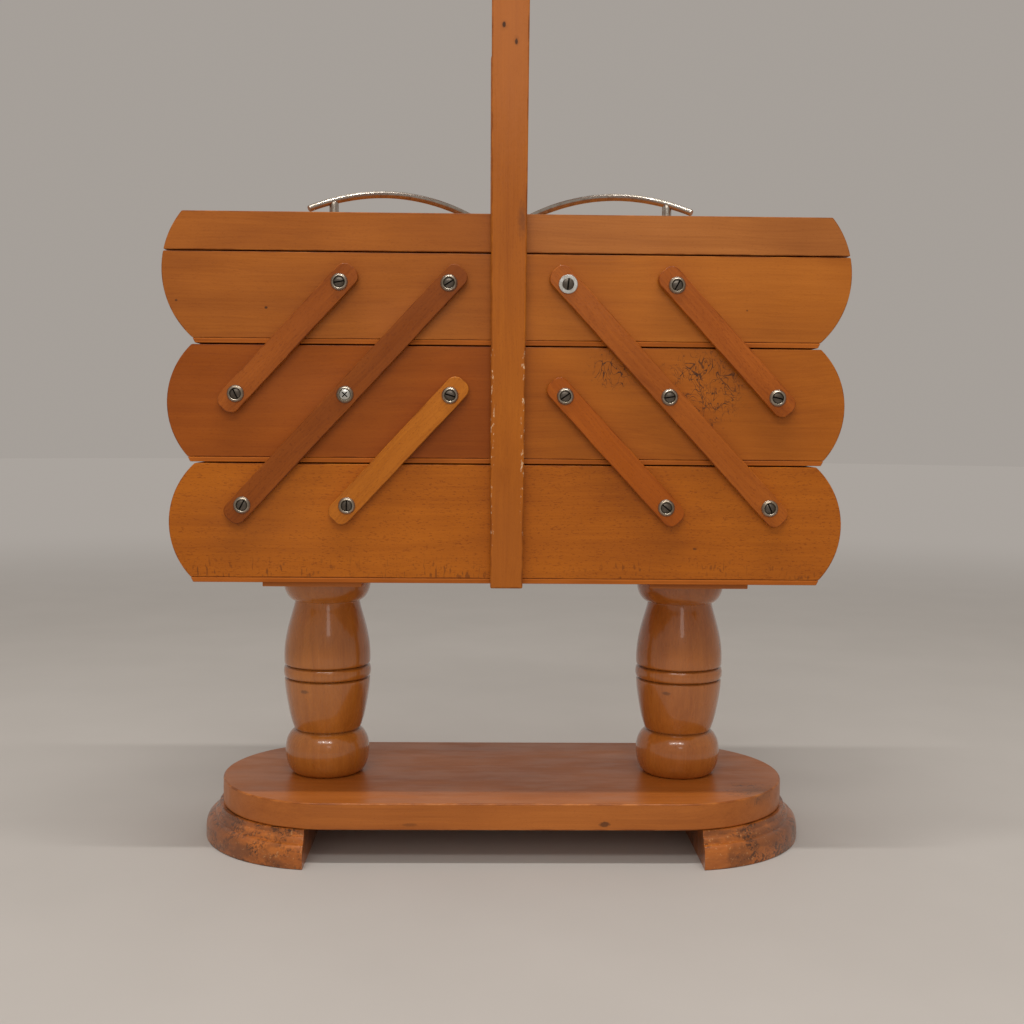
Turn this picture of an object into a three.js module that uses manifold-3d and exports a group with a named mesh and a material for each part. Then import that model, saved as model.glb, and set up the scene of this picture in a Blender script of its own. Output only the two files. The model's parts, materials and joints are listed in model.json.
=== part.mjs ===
// Cantilever sewing box on a pedestal stand: a bottom box, two middle trays and two lidded top trays
// that swing outwards on wooden arms, over two turned legs, a stadium base board and two moulded feet.
// Units are millimetres. +X is the box's right, +Y its back, +Z up.
// The origin is the centre of the footprint, on the plane that the feet stand on.
import * as THREE from "three";
import { mergeVertices } from "three/addons/utils/BufferGeometryUtils.js";
import Module from "manifold-3d";

const wasm = await Module();
wasm.setup();

// --- Driving dimensions ---------------------------------------------------------------------------

// Stand
const FOOT_HEIGHT = 22.5;
const FOOT_RADIUS = 91.6;
const FOOT_CENTRE_X = 112;
const FOOT_CUT_X = 127;
const BASE_DEPTH = 160;
const BASE_LENGTH = 384;
const BASE_THICKNESS = 17.5;
const LEG_X = 121.5;
const LEG_HEIGHT = 138;
const LEG_PLATE_WIDTH = 62;
const LEG_PLATE_DEPTH = 158;
const LEG_PLATE_THICKNESS = 3;

// Box and trays
const BOX_UNDERSIDE = FOOT_HEIGHT + BASE_THICKNESS + LEG_HEIGHT + LEG_PLATE_THICKNESS;
const BOX_DEPTH = 164;
const TRAY_SETBACK = 0.4;
const BOTTOM_HALF_WIDTH = 210;
const MIDDLE_HALF_WIDTH = 210.5;
const TOP_HALF_WIDTH = 213;
const BOARD = 8;
const FLOOR = 3;
const FLOOR_END_SLOPE = 1.5;
const BOTTOM_BOARD_HEIGHT = 71.2;
const MIDDLE_BOARD_HEIGHT = 69.4;
const TOP_BOARD_HEIGHT = 53;
const LID_HEIGHT = 23.6;
const TIER_GAP = 0.8;
const CENTRE_GAP = 1;
const END_ARC_RADIUS = 50;
const TOP_ARC_RADIUS = 56;
const TOP_ARC_DROP = 11.2;
const END_INNER_X = 181;
const LID_PANEL = 4;
const GLUE_GAP = 0.1;

// Arms and their pivot screws
const ARM_WIDTH = 15;
const ARM_THICKNESS = 5;
const ARM_END = 12.3;
const ARM_CORNER = 6;
const ARM_GAP = 0.5;
const PIVOT_RISE = 68.5;
const PIVOT_RUN = 63.5;
const LOW_PIVOT_HEIGHT = 48.5;
const LONG_ARM_FOOT_X = 163.5;
const INNER_ARM_FOOT_X = 99;
const OUTER_ARM_FOOT_X = 167;
const SHANK_RADIUS = 1.8;
const SHANK_REACH = 6;
const SCREW_HEAD_RADIUS = 4.8;
const SCREW_HEAD_THICKNESS = 1.2;
const PIVOT_HOLE_RADIUS = 2.4;
const PIVOT_HOLE_DEPTH = 6.4;

// Carrying handle
const POST_THICKNESS = 9;
const POST_FOOT_WIDTH = 20;
const POST_HEAD_WIDTH = 23;
const POST_BELOW_BOX = 2;
const POST_TOP = 558;
const GRIP_HEIGHT = 524;
const GRIP_RADIUS = 10.5;

// Bow handles. Each is turned so that its inner end is the further back.
const LEFT_BOW_X = -72;
const RIGHT_BOW_X = 63;
const BOW_TURN = THREE.MathUtils.degToRad(29);
const BOW_LENGTH = 131;
const BOW_POST_SPACING = 96;
const BOW_END_HEIGHT = 9.5;
const BOW_RISE = 14.5;
const BOW_BAR_RADIUS = 2.4;
const BOW_POST_RADIUS = 3.6;

// Lid hinges
const HINGE_AXIS_X = 214.2;
const HINGE_LENGTH = 60;
const HINGE_MIDDLE_KNUCKLE = 20;
const HINGE_KNUCKLE_GAP = 0.3;
const HINGE_KNUCKLE_RADIUS = 2;
const HINGE_PIN_RADIUS = 0.9;
const HINGE_BORE_RADIUS = 1.3;
const HINGE_LEAF = 1;
const HINGE_LEAF_END_X = 199;
const HINGE_RECESS_GAP = 0.3;

// --- Heights worked out from them -----------------------------------------------------------------

const BASE_TOP = FOOT_HEIGHT + BASE_THICKNESS;
const BOTTOM_BOARDS_Z = BOX_UNDERSIDE + FLOOR;
const BOTTOM_RIM_Z = BOTTOM_BOARDS_Z + BOTTOM_BOARD_HEIGHT;
const MIDDLE_FLOOR_Z = BOTTOM_RIM_Z + TIER_GAP;
const MIDDLE_BOARDS_Z = MIDDLE_FLOOR_Z + FLOOR;
const MIDDLE_RIM_Z = MIDDLE_BOARDS_Z + MIDDLE_BOARD_HEIGHT;
const TOP_FLOOR_Z = MIDDLE_RIM_Z + TIER_GAP;
const TOP_BOARDS_Z = TOP_FLOOR_Z + FLOOR;
const TOP_RIM_Z = TOP_BOARDS_Z + TOP_BOARD_HEIGHT;
const LID_Z = TOP_RIM_Z + TIER_GAP;
const LID_TOP = LID_Z + LID_HEIGHT;
const HINGE_AXIS_Z = TOP_RIM_Z + TIER_GAP / 2;
const LOW_PIVOT_Z = BOX_UNDERSIDE + LOW_PIVOT_HEIGHT;
const MIDDLE_PIVOT_Z = LOW_PIVOT_Z + PIVOT_RISE;
const HIGH_PIVOT_Z = MIDDLE_PIVOT_Z + PIVOT_RISE;
const SHORT_ARM_LENGTH = Math.hypot(PIVOT_RUN, PIVOT_RISE);
const ARM_ANGLE = Math.atan2(PIVOT_RISE, PIVOT_RUN);

const BOX_FACE_Y = BOX_DEPTH / 2;
const TRAY_FACE_Y = BOX_FACE_Y - TRAY_SETBACK;

// --- Materials ------------------------------------------------------------------------------------

function wood(colour, roughness) {
  return new THREE.MeshStandardMaterial({ color: colour, roughness, metalness: 0 });
}

const BEECH = wood(0xb06a2c, 0.38);
const BEECH_DARK = wood(0x9a5524, 0.38);
const BEECH_STAND = wood(0xa8602c, 0.3);
const PLYWOOD = wood(0x8a5a30, 0.6);
const NICKEL = new THREE.MeshStandardMaterial({ color: 0xc4bfb6, roughness: 0.3, metalness: 1 });

// --- Solid helpers --------------------------------------------------------------------------------

function solid(geometry) {
  const bare = geometry.index ? geometry.toNonIndexed() : geometry.clone();
  bare.deleteAttribute("normal");
  bare.deleteAttribute("uv");
  const merged = mergeVertices(bare, 1e-3);
  return new wasm.Manifold(
    new wasm.Mesh({
      numProp: 3,
      vertProperties: new Float32Array(merged.attributes.position.array),
      triVerts: new Uint32Array(merged.index.array),
    }),
  );
}

function geometryOf(body) {
  const mesh = body.getMesh();
  const geometry = new THREE.BufferGeometry();
  geometry.setAttribute("position", new THREE.BufferAttribute(mesh.vertProperties, 3));
  geometry.setIndex(new THREE.BufferAttribute(mesh.triVerts, 1));
  geometry.computeVertexNormals();
  return geometry;
}

function joined(geometries) {
  return geometryOf(geometries.map(solid).reduce((whole, next) => whole.add(next)));
}

function cutAway(geometry, tools) {
  return geometryOf(tools.map(solid).reduce((whole, tool) => whole.subtract(tool), solid(geometry)));
}

// Points are [x, z] pairs in the front plane; the slab runs from y0 back to y1.
function slab(points, y0, y1) {
  const shape = new THREE.Shape(points.map(([x, z]) => new THREE.Vector2(x, z)));
  const geometry = new THREE.ExtrudeGeometry(shape, { depth: y1 - y0, bevelEnabled: false });
  geometry.rotateX(Math.PI / 2);
  geometry.translate(0, y1, 0);
  return geometry;
}

function block(x0, x1, y0, y1, z0, z1) {
  const geometry = new THREE.BoxGeometry(Math.abs(x1 - x0), y1 - y0, z1 - z0);
  geometry.translate((x0 + x1) / 2, (y0 + y1) / 2, (z0 + z1) / 2);
  return geometry;
}

// A cylinder along Y.
function rod(radius, x, y0, y1, z, sides) {
  const geometry = new THREE.CylinderGeometry(radius, radius, y1 - y0, sides);
  geometry.translate(x, (y0 + y1) / 2, z);
  return geometry;
}

// A cylinder along Z.
function upright(radiusTop, radiusFoot, x, z0, z1, sides) {
  const geometry = new THREE.CylinderGeometry(radiusTop, radiusFoot, z1 - z0, sides);
  geometry.rotateX(Math.PI / 2);
  geometry.translate(x, 0, (z0 + z1) / 2);
  return geometry;
}

function turned(profile, sides) {
  const geometry = new THREE.LatheGeometry(
    profile.map(([radius, height]) => new THREE.Vector2(radius, height)),
    sides,
  );
  geometry.rotateX(Math.PI / 2);
  return geometry;
}

function add(group, name, geometry, material) {
  const mesh = new THREE.Mesh(geometry, material);
  mesh.name = name;
  group.add(mesh);
  return mesh;
}

// --- Shared outlines ------------------------------------------------------------------------------

function bulge(z, arc) {
  return arc.reach - arc.radius + Math.sqrt(arc.radius ** 2 - (z - arc.centre) ** 2);
}

// The convex end line from z0 up to z1, on the side given by sign.
function endLine(z0, z1, arc, sign) {
  const steps = Math.max(4, Math.round((z1 - z0) / 6));
  return Array.from({ length: steps + 1 }, (_, i) => {
    const z = z0 + ((z1 - z0) * i) / steps;
    return [sign * bulge(z, arc), z];
  });
}

function trayOutline(z0, z1, arc, sign, innerX) {
  return [[sign * innerX, z1], [sign * innerX, z0], ...endLine(z0, z1, arc, sign)];
}

function boxOutline(z0, z1, arc) {
  return [...endLine(z0, z1, arc, 1), ...endLine(z0, z1, arc, -1).reverse()];
}

function pivotHoles(pivots, faceY) {
  return pivots.map(([x, z]) => {
    const inward = -Math.sign(faceY);
    const ends = [faceY - inward, faceY + inward * PIVOT_HOLE_DEPTH].sort((a, b) => a - b);
    return rod(PIVOT_HOLE_RADIUS, x, ends[0], ends[1], z, 12);
  });
}

// Each reach is how far out from the middle the arc comes.
const BOTTOM_ARC = {
  reach: BOTTOM_HALF_WIDTH,
  radius: END_ARC_RADIUS,
  centre: (BOX_UNDERSIDE + BOTTOM_RIM_Z) / 2,
};
const MIDDLE_ARC = {
  reach: MIDDLE_HALF_WIDTH,
  radius: END_ARC_RADIUS,
  centre: (MIDDLE_FLOOR_Z + MIDDLE_RIM_Z) / 2,
};
const TOP_ARC = { reach: TOP_HALF_WIDTH, radius: TOP_ARC_RADIUS, centre: TOP_RIM_Z - TOP_ARC_DROP };

// --- Stand ----------------------------------------------------------------------------------------

// Foot moulding: fillet, cove, bead and a plain lower edge, as [inset from the rim, height].
const FOOT_MOULDING = [
  [0, 0],
  [0, 7.5],
  [0.3, 9],
  [0.4, 11.2],
  [1.4, 13.4],
  [3.4, 14.9],
  [5.8, 15.4],
  [6.2, 17],
  [7.2, 18.4],
  [9, 19.2],
  [9.2, FOOT_HEIGHT],
];

function foot(sign) {
  const profile = [[0, 0], ...FOOT_MOULDING.map(([inset, z]) => [FOOT_RADIUS - inset, z]), [0, FOOT_HEIGHT]];
  const disc = turned(profile, 56);
  disc.translate(sign * FOOT_CENTRE_X, 0, 0);
  const reach = FOOT_RADIUS + 1;
  const cutter = block(
    sign * (FOOT_CENTRE_X - reach),
    sign * FOOT_CUT_X,
    -reach,
    reach,
    -1,
    FOOT_HEIGHT + 1,
  );
  return cutAway(disc, [cutter]);
}

function baseBoard() {
  const radius = BASE_DEPTH / 2;
  const straight = BASE_LENGTH / 2 - radius;
  const shape = new THREE.Shape();
  shape.absarc(straight, 0, radius, -Math.PI / 2, Math.PI / 2, false);
  shape.absarc(-straight, 0, radius, Math.PI / 2, (3 * Math.PI) / 2, false);
  const geometry = new THREE.ExtrudeGeometry(shape, {
    depth: BASE_THICKNESS - GLUE_GAP,
    bevelEnabled: false,
    curveSegments: 24,
  });
  geometry.translate(0, 0, FOOT_HEIGHT + GLUE_GAP);
  return geometry;
}

// Turned leg, as [radius, height above the base board]: bun, neck, barrel with two grooves round a bead,
// upper neck and a rounded cap.
const LEG_PROFILE = [
  [22.5, 0],
  [26.6, 5],
  [28.7, 13],
  [28.7, 20],
  [27, 26],
  [22.4, 31],
  [22.2, 34],
  [25.4, 44],
  [28.2, 56],
  [29.2, 64.6],
  [27.6, 66.2],
  [29.4, 67.8],
  [29.7, 70.5],
  [29.5, 73.2],
  [27.8, 74.8],
  [29.6, 76.4],
  [29, 86],
  [26.6, 100],
  [23.4, 112],
  [22, 119],
  [24.6, 120.6],
  [27.4, 123.6],
  [29.2, 128],
  [29.8, 133],
  [29.8, LEG_HEIGHT - GLUE_GAP],
];

function leg(sign) {
  const profile = [[0, 0], ...LEG_PROFILE, [0, LEG_HEIGHT - GLUE_GAP]];
  const geometry = turned(profile, 28);
  geometry.translate(sign * LEG_X, 0, BASE_TOP + GLUE_GAP / 2);
  return geometry;
}

function legPlate(sign) {
  const top = BOX_UNDERSIDE;
  return block(
    sign * (LEG_X - LEG_PLATE_WIDTH / 2),
    sign * (LEG_X + LEG_PLATE_WIDTH / 2),
    -LEG_PLATE_DEPTH / 2,
    LEG_PLATE_DEPTH / 2,
    top - LEG_PLATE_THICKNESS + GLUE_GAP / 2,
    top - GLUE_GAP / 2,
  );
}

function buildStand() {
  const stand = new THREE.Group();
  add(stand, "base_board", baseBoard(), BEECH_STAND);
  for (const [side, sign] of [["left", -1], ["right", 1]]) {
    add(stand, `foot_${side}`, foot(sign), BEECH_STAND);
    add(stand, `leg_${side}`, leg(sign), BEECH_STAND);
    add(stand, `leg_plate_${side}`, legPlate(sign), PLYWOOD);
  }
  return stand;
}

// --- Bottom box -----------------------------------------------------------------------------------

function bottomBoard(faceY) {
  const z0 = BOTTOM_BOARDS_Z + GLUE_GAP;
  const backY = faceY - Math.sign(faceY) * BOARD;
  const outline = boxOutline(z0, BOTTOM_RIM_Z, BOTTOM_ARC);
  const board = slab(outline, Math.min(faceY, backY), Math.max(faceY, backY));
  const pivots = [-1, 1].flatMap((sign) => [
    [sign * LONG_ARM_FOOT_X, LOW_PIVOT_Z],
    [sign * INNER_ARM_FOOT_X, LOW_PIVOT_Z],
  ]);
  return cutAway(board, pivotHoles(pivots, faceY));
}

function floorOutline(z0, arc, sign, innerX) {
  const corner = bulge(z0 + FLOOR, arc);
  return [
    [sign * innerX, z0 + FLOOR],
    [sign * innerX, z0],
    [sign * (corner - FLOOR_END_SLOPE), z0],
    [sign * corner, z0 + FLOOR],
  ];
}

function bottomFloor() {
  const right = floorOutline(BOX_UNDERSIDE, BOTTOM_ARC, 1, 0);
  const left = floorOutline(BOX_UNDERSIDE, BOTTOM_ARC, -1, 0).reverse();
  const outline = [right[2], right[3], left[0], left[1]];
  return slab(outline, -BOX_FACE_Y, BOX_FACE_Y);
}

function endBoard(z0, z1, arc, sign, faceY) {
  const half = faceY - BOARD - GLUE_GAP;
  return slab(trayOutline(z0, z1, arc, sign, END_INNER_X), -half, half);
}

function buildBottomBox() {
  const box = new THREE.Group();
  add(box, "bottom_front_board", bottomBoard(-BOX_FACE_Y), BEECH);
  add(box, "bottom_back_board", bottomBoard(BOX_FACE_Y), BEECH);
  add(box, "bottom_floor", bottomFloor(), PLYWOOD);
  for (const [side, sign] of [["left", -1], ["right", 1]]) {
    const end = endBoard(BOTTOM_BOARDS_Z + GLUE_GAP, BOTTOM_RIM_Z, BOTTOM_ARC, sign, BOX_FACE_Y);
    add(box, `bottom_end_${side}`, end, BEECH);
  }
  return box;
}

// --- Trays ----------------------------------------------------------------------------------------

function trayBoard(z0, z1, arc, sign, faceY, pivots) {
  const backY = faceY - Math.sign(faceY) * BOARD;
  const outline = trayOutline(z0, z1, arc, sign, CENTRE_GAP);
  const board = slab(outline, Math.min(faceY, backY), Math.max(faceY, backY));
  return cutAway(board, pivotHoles(pivots, faceY));
}

function innerEnd(z0, z1, sign) {
  const half = TRAY_FACE_Y - BOARD - GLUE_GAP;
  return block(sign * CENTRE_GAP, sign * (CENTRE_GAP + BOARD), -half, half, z0, z1);
}

// Recess for a hinge leaf in a horizontal edge; z0 and z1 bound the slot.
function leafRecess(sign, z0, z1) {
  const half = HINGE_LENGTH / 2 + HINGE_RECESS_GAP;
  return block(
    sign * (HINGE_LEAF_END_X - HINGE_RECESS_GAP),
    sign * (TOP_HALF_WIDTH + 1),
    -half,
    half,
    z0,
    z1,
  );
}

// The tray's heights are its floor's underside, its boards' lower edge and its rim.
function buildTray(name, side, sign, [floorZ, boardsZ, rimZ], arc, pivots, hinged) {
  const tray = new THREE.Group();
  const z0 = boardsZ + GLUE_GAP;
  const prefix = `${name}_tray_${side}`;
  add(tray, `${prefix}_front`, trayBoard(z0, rimZ, arc, sign, -TRAY_FACE_Y, pivots), BEECH);
  add(tray, `${prefix}_back`, trayBoard(z0, rimZ, arc, sign, TRAY_FACE_Y, pivots), BEECH);
  const outer = endBoard(z0, rimZ, arc, sign, TRAY_FACE_Y);
  const slot = leafRecess(sign, rimZ - HINGE_LEAF - HINGE_RECESS_GAP, rimZ + 1);
  add(tray, `${prefix}_outer_end`, hinged ? cutAway(outer, [slot]) : outer, BEECH);
  add(tray, `${prefix}_inner_end`, innerEnd(z0, rimZ, sign), BEECH);
  const base = slab(floorOutline(floorZ, arc, sign, CENTRE_GAP), -TRAY_FACE_Y, TRAY_FACE_Y);
  add(tray, `${prefix}_floor`, base, PLYWOOD);
  return tray;
}

// --- Lids -----------------------------------------------------------------------------------------

// Four rails round an opening that the top panel closes, with a recess for the hinge leaf below.
function lidFrame(sign) {
  const whole = slab(trayOutline(LID_Z, LID_TOP, TOP_ARC, sign, CENTRE_GAP), -TRAY_FACE_Y, TRAY_FACE_Y);
  const half = TRAY_FACE_Y - BOARD;
  const opening = block(
    sign * (CENTRE_GAP + BOARD),
    sign * END_INNER_X,
    -half,
    half,
    LID_Z - 1,
    LID_TOP + 1,
  );
  return cutAway(whole, [opening, leafRecess(sign, LID_Z - 1, LID_Z + HINGE_LEAF + HINGE_RECESS_GAP)]);
}

function lidPanel(sign) {
  const half = TRAY_FACE_Y - BOARD - GLUE_GAP;
  return block(
    sign * (CENTRE_GAP + BOARD + GLUE_GAP),
    sign * (END_INNER_X - GLUE_GAP),
    -half,
    half,
    LID_TOP - LID_PANEL,
    LID_TOP,
  );
}

// Height of the bow's centre line above the lid, at a distance from its middle.
function bowHeight(distance) {
  const t = distance / (BOW_LENGTH / 2);
  return BOW_END_HEIGHT + BOW_RISE * (1 - t * t);
}

function bowHandle(sign) {
  const half = BOW_LENGTH / 2;
  const top = LID_TOP + GLUE_GAP;
  const section = new THREE.Shape();
  section.absarc(0, 0, BOW_BAR_RADIUS, 0, 2 * Math.PI, false);
  const path = new THREE.QuadraticBezierCurve3(
    new THREE.Vector3(-half, 0, top + BOW_END_HEIGHT),
    new THREE.Vector3(0, 0, top + BOW_END_HEIGHT + 2 * BOW_RISE),
    new THREE.Vector3(half, 0, top + BOW_END_HEIGHT),
  );
  const bar = new THREE.ExtrudeGeometry(section, { steps: 14, extrudePath: path, curveSegments: 8 });
  const posts = [-1, 1].map((end) => {
    const x = (end * BOW_POST_SPACING) / 2;
    return upright(BOW_POST_RADIUS * 0.7, BOW_POST_RADIUS, x, top, top + bowHeight(BOW_POST_SPACING / 2), 12);
  });
  const geometry = joined([bar, ...posts]);
  geometry.rotateZ(-sign * BOW_TURN);
  geometry.translate(sign > 0 ? RIGHT_BOW_X : LEFT_BOW_X, 0, 0);
  return geometry;
}

function hingeKnuckle(sign, y0, y1, radius) {
  return rod(radius, sign * HINGE_AXIS_X, y0, y1, HINGE_AXIS_Z, 12);
}

function hingeLeafPlate(sign, y0, y1, z0) {
  return block(sign * HINGE_LEAF_END_X, sign * HINGE_AXIS_X, y0, y1, z0, z0 + HINGE_LEAF);
}

// Leaf on the tray: two outer knuckles with the pin between them, and a plate let into the tray's end.
function trayHingeLeaf(sign) {
  const half = HINGE_LENGTH / 2;
  const inner = HINGE_MIDDLE_KNUCKLE / 2 + HINGE_KNUCKLE_GAP;
  const plateZ = TOP_RIM_Z - HINGE_LEAF;
  const clearance = block(
    sign * (HINGE_AXIS_X - 3),
    sign * (HINGE_AXIS_X + 3),
    -inner,
    inner,
    HINGE_AXIS_Z - 3,
    HINGE_AXIS_Z + 3,
  );
  const plate = cutAway(hingeLeafPlate(sign, -half, half, plateZ), [clearance]);
  return joined([
    plate,
    hingeKnuckle(sign, -half, -inner, HINGE_KNUCKLE_RADIUS),
    hingeKnuckle(sign, inner, half, HINGE_KNUCKLE_RADIUS),
    hingeKnuckle(sign, -half + 1, half - 1, HINGE_PIN_RADIUS),
  ]);
}

// Leaf on the lid: the bored middle knuckle and a plate let into the lid's end.
function lidHingeLeaf(sign) {
  const middle = HINGE_MIDDLE_KNUCKLE / 2;
  const half = HINGE_LENGTH / 2;
  const plate = hingeLeafPlate(sign, -half, half, LID_Z);
  const tongueEndX = HINGE_AXIS_X - 3;
  const sideCuts = [-1, 1].map((end) => {
    const ends = [end * (middle + GLUE_GAP), end * (half + 1)].sort((a, b) => a - b);
    return block(sign * tongueEndX, sign * (HINGE_AXIS_X + 3), ends[0], ends[1], LID_Z - 1, LID_Z + 3);
  });
  const knuckle = hingeKnuckle(sign, -middle, middle, HINGE_KNUCKLE_RADIUS);
  const bore = hingeKnuckle(sign, -middle - 1, middle + 1, HINGE_BORE_RADIUS);
  return cutAway(joined([cutAway(plate, sideCuts), knuckle]), [bore]);
}

function buildLid(side, sign) {
  const lid = new THREE.Group();
  add(lid, `lid_${side}_frame`, lidFrame(sign), BEECH);
  add(lid, `lid_${side}_panel`, lidPanel(sign), BEECH);
  add(lid, `lid_${side}_bow_handle`, bowHandle(sign), NICKEL);
  add(lid, `lid_${side}_hinge_leaf`, lidHingeLeaf(sign), NICKEL);
  add(lid, `top_tray_${side}_hinge_leaf`, trayHingeLeaf(sign), NICKEL);
  return lid;
}

// --- Arms -----------------------------------------------------------------------------------------

// An arm along +X from its first pivot, running on past the pivots at both ends. Its inner face is y = 0;
// each screw's head stands on the outer face and its shank reaches back into the board.
function armGeometry(pivotDistances) {
  const length = pivotDistances[pivotDistances.length - 1];
  const side = ARM_WIDTH / 2 - ARM_CORNER;
  const start = ARM_CORNER - ARM_END;
  const end = length - start;
  const shape = new THREE.Shape();
  shape.absarc(start, side, ARM_CORNER, Math.PI / 2, Math.PI, false);
  shape.absarc(start, -side, ARM_CORNER, Math.PI, 1.5 * Math.PI, false);
  shape.absarc(end, -side, ARM_CORNER, -Math.PI / 2, 0, false);
  shape.absarc(end, side, ARM_CORNER, 0, Math.PI / 2, false);
  const bar = new THREE.ExtrudeGeometry(shape, {
    depth: ARM_THICKNESS,
    bevelEnabled: false,
    curveSegments: 6,
  });
  bar.rotateX(Math.PI / 2);
  const headY = -ARM_THICKNESS - SCREW_HEAD_THICKNESS;
  const screws = pivotDistances.flatMap((x) => [
    rod(SHANK_RADIUS, x, headY, SHANK_REACH, 0, 8),
    rod(SCREW_HEAD_RADIUS, x, headY, -ARM_THICKNESS + 0.5, 0, 12),
  ]);
  return joined([bar, ...screws]);
}

function addArm(group, name, pivotDistances, footX, footZ, sign, back) {
  const geometry = armGeometry(pivotDistances);
  if (back) geometry.rotateX(Math.PI);
  const mesh = add(group, name, geometry, BEECH_DARK);
  const faceY = BOX_FACE_Y + ARM_GAP;
  mesh.position.set(sign * footX, back ? faceY : -faceY, footZ);
  mesh.rotation.y = sign > 0 ? ARM_ANGLE - Math.PI : -ARM_ANGLE;
}

function buildArms(side, sign) {
  const arms = new THREE.Group();
  for (const place of ["front", "back"]) {
    const back = place === "back";
    const long = [0, SHORT_ARM_LENGTH, 2 * SHORT_ARM_LENGTH];
    const short = [0, SHORT_ARM_LENGTH];
    addArm(arms, `arm_${side}_long_${place}`, long, LONG_ARM_FOOT_X, LOW_PIVOT_Z, sign, back);
    addArm(arms, `arm_${side}_inner_${place}`, short, INNER_ARM_FOOT_X, LOW_PIVOT_Z, sign, back);
    addArm(arms, `arm_${side}_outer_${place}`, short, OUTER_ARM_FOOT_X, MIDDLE_PIVOT_Z, sign, back);
  }
  return arms;
}

// --- Carrying handle ------------------------------------------------------------------------------

function handlePost(faceY) {
  const z0 = BOX_UNDERSIDE - POST_BELOW_BOX;
  const headRadius = POST_HEAD_WIDTH / 2;
  const shoulder = POST_TOP - headRadius;
  const crown = Array.from({ length: 11 }, (_, i) => {
    const angle = (Math.PI * i) / 10;
    return [headRadius * Math.cos(angle), shoulder + headRadius * Math.sin(angle)];
  });
  const outline = [[-POST_FOOT_WIDTH / 2, z0], [POST_FOOT_WIDTH / 2, z0], ...crown];
  const inner = faceY + Math.sign(faceY) * GLUE_GAP;
  const outer = inner + Math.sign(faceY) * POST_THICKNESS;
  return slab(outline, Math.min(inner, outer), Math.max(inner, outer));
}

function buildCarryingHandle() {
  const handle = new THREE.Group();
  add(handle, "handle_post_front", handlePost(-BOX_FACE_Y), BEECH_DARK);
  add(handle, "handle_post_back", handlePost(BOX_FACE_Y), BEECH_DARK);
  add(handle, "handle_grip", rod(GRIP_RADIUS, 0, -BOX_FACE_Y, BOX_FACE_Y, GRIP_HEIGHT, 20), BEECH_DARK);
  return handle;
}

// --- Whole object ---------------------------------------------------------------------------------

function middlePivots(sign) {
  return [
    [sign * (LONG_ARM_FOOT_X - PIVOT_RUN), MIDDLE_PIVOT_Z],
    [sign * (INNER_ARM_FOOT_X - PIVOT_RUN), MIDDLE_PIVOT_Z],
    [sign * OUTER_ARM_FOOT_X, MIDDLE_PIVOT_Z],
  ];
}

function topPivots(sign) {
  return [
    [sign * (LONG_ARM_FOOT_X - 2 * PIVOT_RUN), HIGH_PIVOT_Z],
    [sign * (OUTER_ARM_FOOT_X - PIVOT_RUN), HIGH_PIVOT_Z],
  ];
}

function buildSide(side, sign) {
  const half = new THREE.Group();
  const middle = [MIDDLE_FLOOR_Z, MIDDLE_BOARDS_Z, MIDDLE_RIM_Z];
  const top = [TOP_FLOOR_Z, TOP_BOARDS_Z, TOP_RIM_Z];
  half.add(
    buildTray("middle", side, sign, middle, MIDDLE_ARC, middlePivots(sign), false),
    buildTray("top", side, sign, top, TOP_ARC, topPivots(sign), true),
    buildLid(side, sign),
    buildArms(side, sign),
  );
  return half;
}

const sewingBox = new THREE.Group();
sewingBox.name = "sewing_box_with_trays";
sewingBox.add(buildStand(), buildBottomBox(), buildCarryingHandle());
sewingBox.add(buildSide("left", -1), buildSide("right", 1));

export default sewingBox;
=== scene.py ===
import json
import math

import bmesh
import bpy
from mathutils import Matrix, Vector


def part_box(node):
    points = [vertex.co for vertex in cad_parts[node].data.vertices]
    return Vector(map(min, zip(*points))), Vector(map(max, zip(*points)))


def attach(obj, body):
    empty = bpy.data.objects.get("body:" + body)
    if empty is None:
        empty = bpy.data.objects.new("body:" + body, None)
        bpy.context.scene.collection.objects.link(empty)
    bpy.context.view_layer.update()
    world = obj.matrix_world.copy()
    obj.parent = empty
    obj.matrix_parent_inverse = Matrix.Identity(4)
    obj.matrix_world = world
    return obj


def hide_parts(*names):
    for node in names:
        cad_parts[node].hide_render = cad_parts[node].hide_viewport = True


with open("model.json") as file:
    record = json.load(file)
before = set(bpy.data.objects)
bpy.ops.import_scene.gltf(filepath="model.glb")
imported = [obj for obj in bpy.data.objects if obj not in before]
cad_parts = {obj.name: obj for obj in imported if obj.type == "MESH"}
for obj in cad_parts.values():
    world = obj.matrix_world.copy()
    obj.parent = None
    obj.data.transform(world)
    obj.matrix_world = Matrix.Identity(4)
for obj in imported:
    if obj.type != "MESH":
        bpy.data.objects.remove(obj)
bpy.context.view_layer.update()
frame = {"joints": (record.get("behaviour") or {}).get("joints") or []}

# Cantilever sewing box on a pedestal stand. Metres, +X right, +Y back, +Z up, as in the CAD frame.

# --- Shared shape numbers ---

# The boards' convex ends, the inner face of the end boards, and the recess for a lid's hinge leaf
END_RADIUS = 0.050
TOP_RADIUS = 0.056
TOP_ARC_DROP = 0.0112
END_INNER_X = 0.181
BOARD = 0.008
GLUE_GAP = 0.0001
RECESS_HALF = 0.0303
RECESS_DEPTH = 0.0013
PIVOTS = {joint["name"]: joint["pos_m"] for joint in frame["joints"]}
SIDES = (("left", -1), ("right", 1))


def limits(node):
    low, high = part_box(node)
    return tuple(low), tuple(high)


# --- Node helpers ---


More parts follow.
